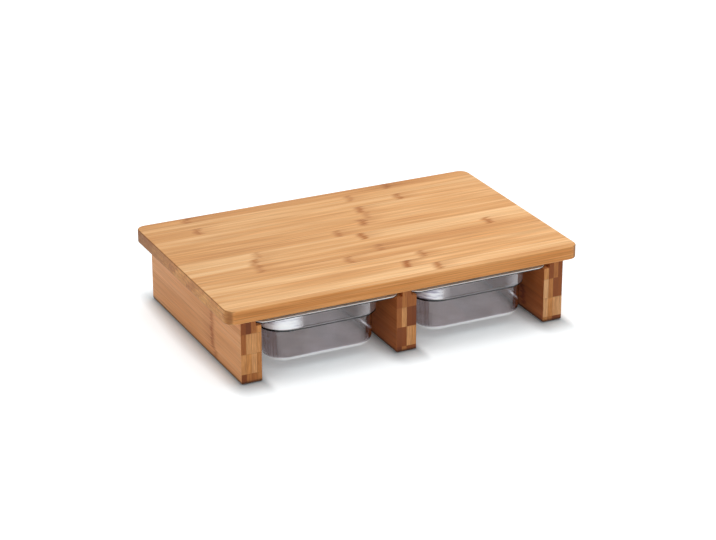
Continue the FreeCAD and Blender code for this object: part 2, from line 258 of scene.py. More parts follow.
def board_bamboo():
    """Oiled flat-pressed bamboo: warm straw strips with soft fibres, brown knuckles and a low sheen."""
    material, tree = new_material("oiled_bamboo_board")
    coordinates = add(tree, "ShaderNodeTexCoord", output="Object")
    facing = add(tree, "ShaderNodeVectorMath", {0: coordinates.node.outputs["Normal"]}, operation="ABSOLUTE")
    toward_end, toward_side, upright = add(tree, "ShaderNodeSeparateXYZ", {0: facing}).node.outputs
    place = add(tree, "ShaderNodeMapping", {
        "Vector": coordinates,
        "Location": (0.0, BOARD_HIGH.y - FIRST_STRIP + STRIP_WIDTH, BOARD_HIGH.z + SKIN),
        "Scale": (1.0, -1.0, -1.0),
    })
    strips = add(tree, "ShaderNodeGroup", {
        "Place": place, "Strip Width": STRIP_WIDTH, "Stagger": 0.37, "Seed": 5.0,
        "Layer Thickness": (BOARD_HIGH.z - BOARD_LOW.z + 2 * SKIN) / BOARD_LAYERS,
    }, node_tree=STRIP_PATTERN).node.outputs

    # One step of a ramp holds each top strip's lightness and knuckle places.
    share = add(tree, "ShaderNodeMath", {0: strips["Strip"], 1: 0.5}, operation="ADD")
    share = add(tree, "ShaderNodeMath", {0: share, 1: float(len(TOP_STRIPS))}, operation="DIVIDE")
    told = add(tree, "ShaderNodeValToRGB", {0: share}, stops=[
        (i / len(TOP_STRIPS), (lightness, first / OFF_BOARD / 2 + 0.5, second / OFF_BOARD / 2 + 0.5, 1.0))
        for i, (lightness, first, second) in enumerate(TOP_STRIPS)
    ])
    told.node.color_ramp.interpolation = "CONSTANT"
    told = add(tree, "ShaderNodeSeparateColor", {0: told}).node.outputs
    along, back = add(tree, "ShaderNodeSeparateXYZ", {0: coordinates}).node.outputs[:2]
    chance = add(tree, "ShaderNodeSeparateColor", {0: strips["Chance"]}).node.outputs
    reach = OFF_BOARD * MM
    first = add(tree, "ShaderNodeMapRange", {0: told[1], 3: -reach, 4: reach})
    second = add(tree, "ShaderNodeMapRange", {0: told[2], 3: -reach, 4: reach})
    first_mark = knuckle_mark(tree, along, first, strips, chance[1])
    second_mark = knuckle_mark(tree, along, second, strips, chance[2])
    knuckle = add(tree, "ShaderNodeMath", {0: first_mark, 1: second_mark}, operation="MAXIMUM")

    # The stem's lengths between knuckles differ a little in tone.
    past_first = add(tree, "ShaderNodeMath", {0: along, 1: first}, operation="GREATER_THAN")
    past_both = add(tree, "ShaderNodeMath", {0: along, 1: second}, operation="GREATER_THAN")
    lengths = add(tree, "ShaderNodeMath", {0: past_first, 1: past_both}, operation="ADD")
    length_cell = add(tree, "ShaderNodeCombineXYZ", {0: strips["Strip"], 1: lengths, 2: strips["Layer"]})
    length_tone = add(tree, "ShaderNodeTexWhiteNoise", {"Vector": length_cell}, noise_dimensions="3D")
    tone = add(tree, "ShaderNodeMath", {0: length_tone, 1: 0.6, 2: told[0]}, operation="MULTIPLY_ADD")
    tone = add(tree, "ShaderNodeMath", {0: strips["Cloud"], 1: 1.4, 2: tone}, operation="MULTIPLY_ADD")
    tone = add(tree, "ShaderNodeMath", {0: strips["Fibre"], 1: 1.4, 2: tone}, operation="MULTIPLY_ADD")
    tone = add(tree, "ShaderNodeMapRange", {0: tone, 1: 1.2, 2: 3.0})
    straw = add(tree, "ShaderNodeValToRGB", {0: tone}, stops=[
        (0.0, linear("#c38043")), (0.5, linear("#e4a768")), (1.0, linear("#fccb92")),
    ])
    fine = add(tree, "ShaderNodeMapRange", {0: strips["Fine Fibre"], 1: 0.3, 2: 0.7, 3: 0.83, 4: 1.16})
    # The board is a little darker toward the left, most so at the back: painted shade.
    left_shade = add(tree, "ShaderNodeMath", {0: along, 1: back}, operation="SUBTRACT")
    left_shade = add(tree, "ShaderNodeMapRange", {0: left_shade, 1: BOARD_LOW.x, 2: BOARD_HIGH.x, 3: 0.92, 4: 1.05})
    fine = add(tree, "ShaderNodeMath", {0: fine, 1: left_shade}, operation="MULTIPLY")
    straw = add(tree, "ShaderNodeMix", {
        0: 1.0, 6: straw, 7: fine,
    }, output=2, data_type="RGBA", blend_type="MULTIPLY")
    straw = add(tree, "ShaderNodeMix", {
        0: add(tree, "ShaderNodeMath", {0: strips["Strip Line"], 1: 0.45}, operation="MULTIPLY"),
        6: straw, 7: linear("#b0703a"),
    }, output=2, data_type="RGBA")
    straw = add(tree, "ShaderNodeMix", {
        0: knuckle, 6: straw, 7: linear("#bf9558"),
    }, output=2, data_type="RGBA", blend_type="MULTIPLY")
    # The sawn long edges cut through the darker rind side of the strips.
    sawn = add(tree, "ShaderNodeMapRange", {0: toward_side, 1: 0.5, 2: 0.9}, interpolation_type="SMOOTHSTEP")
    straw = add(tree, "ShaderNodeMix", {
        0: sawn, 6: straw,
        7: add(tree, "ShaderNodeMix", {
            0: 1.0, 6: straw, 7: linear("#f5dec4"),
        }, output=2, data_type="RGBA", blend_type="MULTIPLY"),
    }, output=2, data_type="RGBA")

    layer_shows = add(tree, "ShaderNodeMapRange", {0: upright, 1: 0.3, 2: 0.7, 3: 0.45, 4: 0.0})
    layer_line = add(tree, "ShaderNodeMath", {0: strips["Layer Line"], 1: layer_shows}, operation="MULTIPLY")
    straw = add(tree, "ShaderNodeMix", {
        0: layer_line, 6: straw, 7: linear("#96602f"),
    }, output=2, data_type="RGBA")

    # End grain shows on the two short edges.
    end_tone = add(tree, "ShaderNodeValToRGB", {0: tone}, stops=[
        (0.0, linear("#b76e36")), (0.5, linear("#d99250")), (1.0, linear("#f2b166")),
    ])
    end_grain = add(tree, "ShaderNodeMix", {
        0: add(tree, "ShaderNodeMath", {0: strips["Bundles"], 1: 0.4}, operation="MULTIPLY"),
        6: end_tone, 7: linear("#8a4e26"),
    }, output=2, data_type="RGBA")
    end_grain = add(tree, "ShaderNodeMix", {
        0: layer_line, 6: end_grain, 7: linear("#7a4a26"),
    }, output=2, data_type="RGBA")
    # Toward the back the end grain is painted darker: painted shade.
    oil_and_shade = add(tree, "ShaderNodeMapRange", {0: back, 1: 0.0, 2: BOARD_HIGH.y, 3: 0.0, 4: 0.75})
    # The rounded corners show the fibres cut aslant, which drink more oil.
    aslant = add(tree, "ShaderNodeMath", {0: toward_side, 1: 0.7}, operation="MULTIPLY")
    oil_and_shade = add(tree, "ShaderNodeMath", {0: oil_and_shade, 1: aslant}, operation="MAXIMUM")
    end_grain = add(tree, "ShaderNodeMix", {
        0: oil_and_shade, 6: end_grain, 7: linear("#7d4a28"),
    }, output=2, data_type="RGBA")
    is_end = add(tree, "ShaderNodeMapRange", {0: toward_end, 1: 0.3, 2: 0.6}, interpolation_type="SMOOTHSTEP")
    colour = add(tree, "ShaderNodeMix", {0: is_end, 6: straw, 7: end_grain}, output=2, data_type="RGBA")

    # Rounded edges along the fibres are painted lighter, as rubbed wear and as a painted highlight on their
    # roundings; across the fibres they have soaked up oil.
    edge = add(tree, "ShaderNodeMath", {0: upright, 1: 0.5}, operation="SUBTRACT")
    edge = add(tree, "ShaderNodeMath", {0: edge}, operation="ABSOLUTE")
    edge = add(tree, "ShaderNodeMapRange", {0: edge, 1: 0.45, 2: 0.1})
    wear_and_highlight = add(tree, "ShaderNodeMath", {0: edge, 1: toward_side}, operation="MULTIPLY")
    wear_and_highlight = add(tree, "ShaderNodeMath", {0: wear_and_highlight, 1: 0.3}, operation="MULTIPLY")
    soaked = add(tree, "ShaderNodeMath", {0: edge, 1: toward_end}, operation="MULTIPLY")
    for worn, hex_colour in ((soaked, "#8a5228"), (wear_and_highlight, "#f0c07f")):
        colour = add(tree, "ShaderNodeMix", {
            0: worn, 6: colour, 7: linear(hex_colour),
        }, output=2, data_type="RGBA")
    roughness = add(tree, "ShaderNodeMapRange", {0: strips["Fibre"], 1: 0.2, 2: 0.8, 3: 0.62, 4: 0.48})
    opaque_surface(tree, colour, roughness, strips["Fine Fibre"], *BAMBOO_RELIEF, **BAMBOO_GLOSS)
    return material


def leg_bamboo(name, first_joint, seed, knuckles, inner_faces):
    """Oiled bamboo in four layers: tan fibres along the sides, brown and tan blocks on the ends.

    First joint is how far the joint under the top strip is from the top, and knuckles are the places of
    the strips' knuckles from the top strip down, both in mm. Inner faces are the directions, along X,
    in which the leg faces a tray: these faces are painted darker, as painted shade.
    """
    material, tree = new_material(f"oiled_bamboo_{name}")
    coordinates = add(tree, "ShaderNodeTexCoord", output="Object")
    facing = add(tree, "ShaderNodeSeparateXYZ", {0: coordinates.node.outputs["Normal"]}).node.outputs
    low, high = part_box(name)
    sideways, along, height = add(tree, "ShaderNodeSeparateXYZ", {0: coordinates}).node.outputs
    across = add(tree, "ShaderNodeMath", {
        0: high.z - first_joint * MM + LEG_STRIP_WIDTH, 1: height,
    }, operation="SUBTRACT")
    through = add(tree, "ShaderNodeMath", {0: sideways, 1: low.x - SKIN}, operation="SUBTRACT")
    place = add(tree, "ShaderNodeCombineXYZ", {0: along, 1: across, 2: through})
    strips = add(tree, "ShaderNodeGroup", {
        "Place": place, "Strip Width": LEG_STRIP_WIDTH, "Seed": seed,
        "Layer Thickness": (high.x - low.x + 2 * SKIN) / LEG_LAYERS,
    }, node_tree=STRIP_PATTERN).node.outputs

    chance = add(tree, "ShaderNodeSeparateColor", {0: strips["Chance"]}).node.outputs
    share = add(tree, "ShaderNodeMath", {0: strips["Strip"], 1: 0.5}, operation="ADD")
    share = add(tree, "ShaderNodeMath", {0: share, 1: float(len(knuckles))}, operation="DIVIDE")
    told = add(tree, "ShaderNodeValToRGB", {0: share}, stops=[
        (i / len(knuckles), (centre / OFF_BOARD / 2 + 0.5, 0.0, 0.0, 1.0))
        for i, centre in enumerate(knuckles)
    ])
    told.node.color_ramp.interpolation = "CONSTANT"
    told = add(tree, "ShaderNodeSeparateColor", {0: told})
    centre = add(tree, "ShaderNodeMapRange", {0: told, 3: -OFF_BOARD * MM, 4: OFF_BOARD * MM})
    knuckle = knuckle_mark(tree, along, centre, strips, chance[0])

    tone = add(tree, "ShaderNodeMath", {0: chance[1], 1: 0.4}, operation="MULTIPLY")
    tone = add(tree, "ShaderNodeMath", {0: strips["Cloud"], 1: 1.3, 2: tone}, operation="MULTIPLY_ADD")
    tone = add(tree, "ShaderNodeMath", {0: strips["Fibre"], 1: 1.2, 2: tone}, operation="MULTIPLY_ADD")
    tone = add(tree, "ShaderNodeMapRange", {0: tone, 1: 0.6, 2: 2.3})
    tan = add(tree, "ShaderNodeValToRGB", {0: tone}, stops=[
        (0.0, linear("#cf8a53")), (0.5, linear("#e4a068")), (1.0, linear("#f5b682")),
    ])
    fine = add(tree, "ShaderNodeMapRange", {0: strips["Fine Fibre"], 1: 0.3, 2: 0.7, 3: 0.83, 4: 1.15})
    tan = add(tree, "ShaderNodeMix", {
        0: 1.0, 6: tan, 7: fine,
    }, output=2, data_type="RGBA", blend_type="MULTIPLY")
    tan = add(tree, "ShaderNodeMix", {
        0: add(tree, "ShaderNodeMath", {0: strips["Strip Line"], 1: 0.5}, operation="MULTIPLY"),
        6: tan, 7: linear("#9a5f34"),
    }, output=2, data_type="RGBA")
    tan = add(tree, "ShaderNodeMix", {
        0: knuckle, 6: tan, 7: linear("#b98c66"),
    }, output=2, data_type="RGBA", blend_type="MULTIPLY")

    # Faces toward a tray are painted darker: painted shade.
    shaded_tan = add(tree, "ShaderNodeMix", {
        0: 1.0, 6: tan, 7: linear("#b8916f"),
    }, output=2, data_type="RGBA", blend_type="MULTIPLY")
    for direction in inner_faces:
        inner = add(tree, "ShaderNodeMath", {0: facing[0], 1: direction}, operation="MULTIPLY")
        inner = add(tree, "ShaderNodeMapRange", {0: inner, 1: 0.5, 2: 0.9})
        tan = add(tree, "ShaderNodeMix", {0: inner, 6: tan, 7: shaded_tan}, output=2, data_type="RGBA")

    block = add(tree, "ShaderNodeValToRGB", {0: strips["Tone"]}, stops=[
        (0.0, linear("#683218")), (0.35, linear("#a25a29")),
        (0.65, linear("#de9755")), (1.0, linear("#f9c28a")),
    ])
    block = add(tree, "ShaderNodeMix", {
        0: add(tree, "ShaderNodeMath", {0: strips["Bundles"], 1: 0.5}, operation="MULTIPLY"),
        6: block, 7: linear("#7c3e1c"),
    }, output=2, data_type="RGBA")
    joint = add(tree, "ShaderNodeMath", {
        0: strips["Strip Line"], 1: strips["Layer Line"],
    }, operation="MAXIMUM")
    block = add(tree, "ShaderNodeMix", {
        0: add(tree, "ShaderNodeMath", {0: joint, 1: 0.35}, operation="MULTIPLY"),
        6: block, 7: linear("#6d4020"),
    }, output=2, data_type="RGBA")
    toward_end = add(tree, "ShaderNodeMath", {0: facing[1]}, operation="ABSOLUTE")
    is_end = add(tree, "ShaderNodeMapRange", {
        0: toward_end, 1: 0.35, 2: 0.85,
    }, interpolation_type="SMOOTHSTEP")
    colour = add(tree, "ShaderNodeMix", {0: is_end, 6: tan, 7: block}, output=2, data_type="RGBA")
    # The foot is darker toward the bottom, and the near-black rim right at the bottom is painted shade where
    # the leg meets the floor.
    foot_level = add(tree, "ShaderNodeMath", {
        0: strips["Fine Fibre"], 1: 6.0 * MM, 2: height,
    }, operation="MULTIPLY_ADD")
    for level, start, end, strength, hex_colour in (
        (foot_level, 3.0 * MM, 10.0 * MM, 0.45, "#7c3f1c"), (height, 2.2 * MM, 4.2 * MM, 0.75, "#3b2416"),
    ):
        foot_darkening = add(tree, "ShaderNodeMapRange", {0: level, 1: start, 2: end, 3: strength, 4: 0.0})
        colour = add(tree, "ShaderNodeMix", {
            0: foot_darkening, 6: colour, 7: linear(hex_colour),
        }, output=2, data_type="RGBA")
    roughness = add(tree, "ShaderNodeMapRange", {0: strips["Fibre"], 1: 0.2, 2: 0.8, 3: 0.66, 4: 0.52})
    opaque_surface(tree, colour, roughness, strips["Fine Fibre"], *BAMBOO_RELIEF, **BAMBOO_GLOSS)
    return material


def dowel_beech():
    """Turned beech: pale pinkish tan with short brown flecks along the rod."""
    material, tree = new_material("turned_beech")
    coordinates = add(tree, "ShaderNodeTexCoord", output="Object")
    place = add(tree, "ShaderNodeMapping", {"Vector": coordinates, "Scale": (900.0, 900.0, 120.0)})
    flecks = add(tree, "ShaderNodeTexNoise", {"Vector": place, "Scale": 1.0, "Detail": 3.0})
    colour = add(tree, "ShaderNodeValToRGB", {0: flecks}, stops=[
        (0.3, linear("#b98f63")), (0.6, linear("#d8b287")),
    ])
    roughness = add(tree, "ShaderNodeMapRange", {0: flecks, 3: 0.75, 4: 0.6})
    opaque_surface(tree, colour, roughness, flecks, 0.2, 0.1 * MM, IOR=1.5)
    return material


def pad_rubber():
    """Moulded natural rubber: near-black, matt, with a fine grain and pale dust in its low spots."""
    material, tree = new_material("matt_rubber")
    coordinates = add(tree, "ShaderNodeTexCoord", output="Object")
    grain = add(tree, "ShaderNodeTexNoise", {"Vector": coordinates, "Scale": 1400.0, "Detail": 3.0})
    colour = add(tree, "ShaderNodeValToRGB", {0: grain}, stops=[
        (0.3, linear("#3b3835")), (0.7, linear("#242322")),
    ])
    roughness = add(tree, "ShaderNodeMapRange", {0: grain, 3: 0.9, 4: 0.75})
    opaque_surface(tree, colour, roughness, grain, 0.5, 0.1 * MM, IOR=1.52)
    return material


def zone(tree, value, low, high, blur):
    """1 where the value lies between low and high, and 0 outside, with soft ends."""
    rise = add(tree, "ShaderNodeMapRange", {0: value, 1: low - blur, 2: low + blur})
    fall = add(tree, "ShaderNodeMapRange", {0: value, 1: high - blur, 2: high + blur, 3: 1.0, 4: 0.0})
    return add(tree, "ShaderNodeMath", {0: rise, 1: fall}, operation="MULTIPLY")


# Where the marks on a tray's plastic start and end: heights above the floor, distances outwards of the
# band, and distances across from the tray's middle.
OUTER_SKIN = (-1.35 * MM, 16.0 * MM)
FLANGE = (1.0 * MM, 16.0 * MM)
FLANGE_TOP = (60.2 * MM, 62.0 * MM)
FLANGE_EDGE = (14.6 * MM, 16.0 * MM)
ROUND_END = (83.0 * MM, 90.0 * MM)
ROUND_CORNER = (30.0 * MM, 55.0 * MM)
HIGHLIGHT_BAND = (45.2 * MM, 57.5 * MM)
GLINT_LINE = (74.5 * MM, 77.0 * MM)
GLINT_HEIGHT = (25.0 * MM, 38.0 * MM)
STEP_FOOT = (42.2 * MM, 42.6 * MM)
STEP_TOP = (44.3 * MM, 45.2 * MM)
FLOOR_ROUNDING_TOP = 18.0 * MM
BODY_CORNER = (45.0 * MM, 70.0 * MM)
# How far down the rounding under the body faces, as the Z of its normal, where it is silver and dark.
SILVER = (-0.85, -0.36)
OUTLINE = (-0.98, -0.88)


def clear_plastic():
    """Injection-moulded clear SAN: a faint smoke tint, glossy flat walls, and a flange top and a band corner
    painted white as painted highlights.
    """
    material, tree = new_material("clear_san")
    coordinates = add(tree, "ShaderNodeTexCoord", output="Object")
    sideways, along, height = add(tree, "ShaderNodeSeparateXYZ", {0: coordinates}).node.outputs
    outwards = add(tree, "ShaderNodeAttribute", output="Fac", attribute_name="outwards")
    across = add(tree, "ShaderNodeAttribute", output="Fac", attribute_name="across")
    aside = add(tree, "ShaderNodeMath", {0: across}, operation="ABSOLUTE")
    toward_end = add(tree, "ShaderNodeMath", {0: along}, operation="ABSOLUTE")
    toward_end = add(tree, "ShaderNodeMapRange", {0: toward_end, 1: ROUND_END[0], 2: ROUND_END[1]})
    outer_skin = zone(tree, outwards, *OUTER_SKIN, 0.1 * MM)
    downward = add(tree, "ShaderNodeSeparateXYZ", {0: coordinates.node.outputs["Normal"]}).node.outputs[2]
    haze = add(tree, "ShaderNodeTexNoise", {
        "Vector": coordinates, "Scale": 45.0, "Detail": 4.0, "Roughness": 0.6,
    })

    # The flange is painted white on top, and the band's left corner in white streaks along its length:
    # painted highlights.
    flange = zone(tree, outwards, *FLANGE, 0.4 * MM)
    wear_and_highlight = zone(tree, height, *FLANGE_TOP, 0.2 * MM)
    wear_and_highlight = add(tree, "ShaderNodeMath", {0: wear_and_highlight, 1: flange}, operation="MULTIPLY")
    streak_place = add(tree, "ShaderNodeMapping", {
        "Vector": coordinates, "Rotation": (0.0, 0.25, 0.0), "Scale": (45.0, 45.0, 260.0),
    })
    highlight_streaks = add(tree, "ShaderNodeTexNoise", {"Vector": streak_place, "Scale": 1.0, "Detail": 2.0})
    # The painted highlight reaches far along the left tray's end, and on the right tray only round the
    # corner.
    reach = add(tree, "ShaderNodeMapRange", {
        0: sideways, 1: -5.0 * MM, 2: 5.0 * MM, 3: 28.0 * MM, 4: 40.0 * MM,
    })
    reach = add(tree, "ShaderNodeMath", {0: across, 1: reach}, operation="ADD")
    highlight_zone = add(tree, "ShaderNodeMapRange", {
        0: reach, 1: -6.0 * MM, 2: 6.0 * MM, 3: 1.0, 4: 0.0,
    }, interpolation_type="SMOOTHSTEP")
    for limit in (zone(tree, height, *HIGHLIGHT_BAND, 0.5 * MM), toward_end, outer_skin):
        highlight_zone = add(tree, "ShaderNodeMath", {0: highlight_zone, 1: limit}, operation="MULTIPLY")
    painted_highlight = add(tree, "ShaderNodeMapRange", {0: highlight_streaks, 1: 0.3, 2: 0.55, 3: 0.6, 4: 1.0})
    painted_highlight = add(tree, "ShaderNodeMath", {0: painted_highlight, 1: highlight_zone}, operation="MULTIPLY")
    # A thin slanting line down the body's right corner is painted light: a painted glint.
    painted_glint = add(tree, "ShaderNodeMath", {0: across, 1: height}, operation="ADD")
    painted_glint = zone(tree, painted_glint, *GLINT_LINE, 0.8 * MM)
    for limit in (zone(tree, height, *GLINT_HEIGHT, 3.0 * MM), toward_end, 0.5):
        painted_glint = add(tree, "ShaderNodeMath", {0: painted_glint, 1: limit}, operation="MULTIPLY")
    painted_highlight = add(tree, "ShaderNodeMath", {0: painted_highlight, 1: painted_glint}, operation="MAXIMUM")
    frost = add(tree, "ShaderNodeMath", {0: wear_and_highlight, 1: painted_highlight}, operation="MAXIMUM")

    # Light runs along inside the wall and is lost at the steps, which look dark, widest at the corners.
    corner = add(tree, "ShaderNodeMapRange", {0: aside, 1: ROUND_CORNER[0], 2: ROUND_CORNER[1]})
    step_top = add(tree, "ShaderNodeMapRange", {0: corner, 3: STEP_TOP[0], 4: STEP_TOP[1]})
    step = add(tree, "ShaderNodeMath", {0: step_top, 1: height}, operation="SUBTRACT")
    step = zone(tree, step, 0.0, 3.0 * MM, 0.2 * MM)
    above_body = add(tree, "ShaderNodeMapRange", {0: height, 1: STEP_FOOT[0], 2: STEP_FOOT[1]})
    for limit in (outer_skin, above_body):
        step = add(tree, "ShaderNodeMath", {0: step, 1: limit}, operation="MULTIPLY")
    # The rounding under the body turns the floor's light back like a mirror, above an outline painted dark as
    # painted shade.
    low = add(tree, "ShaderNodeMath", {0: height, 1: FLOOR_ROUNDING_TOP}, operation="LESS_THAN")
    silver, outline = (
        add(tree, "ShaderNodeMath", {0: zone(tree, downward, *limits, blur), 1: low}, operation="MULTIPLY")
        for limits, blur in ((SILVER, 0.05), (OUTLINE, 0.03))
    )
    # The flange's outer edge is painted dark too: painted shade.
    edge = zone(tree, outwards, *FLANGE_EDGE, 0.2 * MM)
    dark = add(tree, "ShaderNodeMath", {0: step, 1: edge}, operation="MAXIMUM")
    dark = add(tree, "ShaderNodeMath", {0: dark, 1: outline}, operation="MAXIMUM")

    # Smoke tint in soft upright clouds, with thin grey stripes at the corners of the body: painted streaks
    # for the leg beside it, seen drawn out through the curved plastic.
    cloud_place = add(tree, "ShaderNodeMapping", {"Vector": coordinates, "Scale": (30.0, 30.0, 8.0)})
    clouds = add(tree, "ShaderNodeTexNoise", {"Vector": cloud_place, "Scale": 1.0, "Detail": 2.0})
    colour = add(tree, "ShaderNodeValToRGB", {0: clouds}, stops=[
        (0.3, linear("#d8d0d1")), (0.5, linear("#e6dfe2")), (0.7, linear("#f4eff4")),
    ])
    stripe_place = add(tree, "ShaderNodeMapping", {"Vector": coordinates, "Scale": (500.0, 500.0, 6.0)})
    painted_streaks = add(tree, "ShaderNodeTexNoise", {"Vector": stripe_place, "Scale": 1.0, "Detail": 1.0})
    painted_streaks = add(tree, "ShaderNodeMapRange", {0: painted_streaks, 1: 0.4, 2: 0.6})
    body_corner = zone(tree, aside, *BODY_CORNER, 4.0 * MM)
    body_corner = add(tree, "ShaderNodeMath", {0: body_corner, 1: toward_end}, operation="MULTIPLY")
    painted_streaks = add(tree, "ShaderNodeMath", {0: painted_streaks, 1: body_corner}, operation="MULTIPLY")
    highlight_white = add(tree, "ShaderNodeValToRGB", {0: highlight_streaks}, stops=[
        (0.36, linear("#9c99b4")), (0.46, linear("#f8f8fd")), (0.65, linear("#ffffff")),
    ])
    for share, tint in (
        (painted_streaks, linear("#cfc8ca")), (silver, linear("#ffffff")), (dark, linear("#0c0b0d")),
        (painted_highlight, highlight_white), (wear_and_highlight, linear("#f6f6f8")),
    ):
        colour = add(tree, "ShaderNodeMix", {0: share, 6: colour, 7: tint}, output=2, data_type="RGBA")
    roughness = add(tree, "ShaderNodeMapRange", {0: haze, 1: 0.35, 2: 0.75, 3: 0.03, 4: 0.12})
    roughness = add(tree, "ShaderNodeMath", {0: frost, 1: 0.5, 2: roughness}, operation="MULTIPLY_ADD")

    # The round corners are hazed all over by fine wear.
    worn = add(tree, "ShaderNodeMath", {0: corner, 1: toward_end}, operation="MULTIPLY")
    worn = add(tree, "ShaderNodeMath", {0: worn, 1: outer_skin}, operation="MULTIPLY")
    solid = add(tree, "ShaderNodeMath", {0: dark, 1: painted_highlight}, operation="MAXIMUM")
    for mark, share in ((wear_and_highlight, 0.3), (worn, 0.32)):
        solid = add(tree, "ShaderNodeMath", {0: mark, 1: share, 2: solid}, operation="MULTIPLY_ADD")
    clearness = add(tree, "ShaderNodeMapRange", {0: solid, 3: 1.0, 4: 0.0})
    mirror = silver
    for mark, share in ((painted_highlight, 0.35), (worn, 0.3)):
        shine = add(tree, "ShaderNodeMath", {0: mark, 1: share}, operation="MULTIPLY")
        mirror = add(tree, "ShaderNodeMath", {0: mirror, 1: shine}, operation="MAXIMUM")
    waves = add(tree, "ShaderNodeMath", {0: highlight_streaks, 1: highlight_zone}, operation="MULTIPLY")
    relief = add(tree, "ShaderNodeBump", {"Height": haze, "Strength": 0.08, "Distance": 0.6 * MM})
    relief = add(tree, "ShaderNodeBump", {
        "Height": waves, "Strength": 0.6, "Distance": 2.0 * MM, "Normal": relief,
    })
    plastic = add(tree, "ShaderNodeBsdfPrincipled", {
        "Base Color": colour, "Roughness": roughness, "Normal": relief,
        "IOR": 1.57, "Transmission Weight": clearness, "Metallic": mirror,
    })
    # Light passes through the walls, so that the shadow they throw is pale.
    clear = add(tree, "ShaderNodeBsdfTransparent", {"Color": linear("#dcdce0")})
    shadow = add(tree, "ShaderNodeLightPath", output="Is Shadow Ray")
    surface = add(tree, "ShaderNodeMixShader", {0: shadow, 1: plastic, 2: clear})
    smoke = add(tree, "ShaderNodeVolumeAbsorption", {"Color": linear("#b9b5ba"), "Density": 30.0})
    add(tree, "ShaderNodeOutputMaterial", {"Surface": surface, "Volume": smoke})
    return material


# --- the moulded trays ---------------------------------------------------------------------

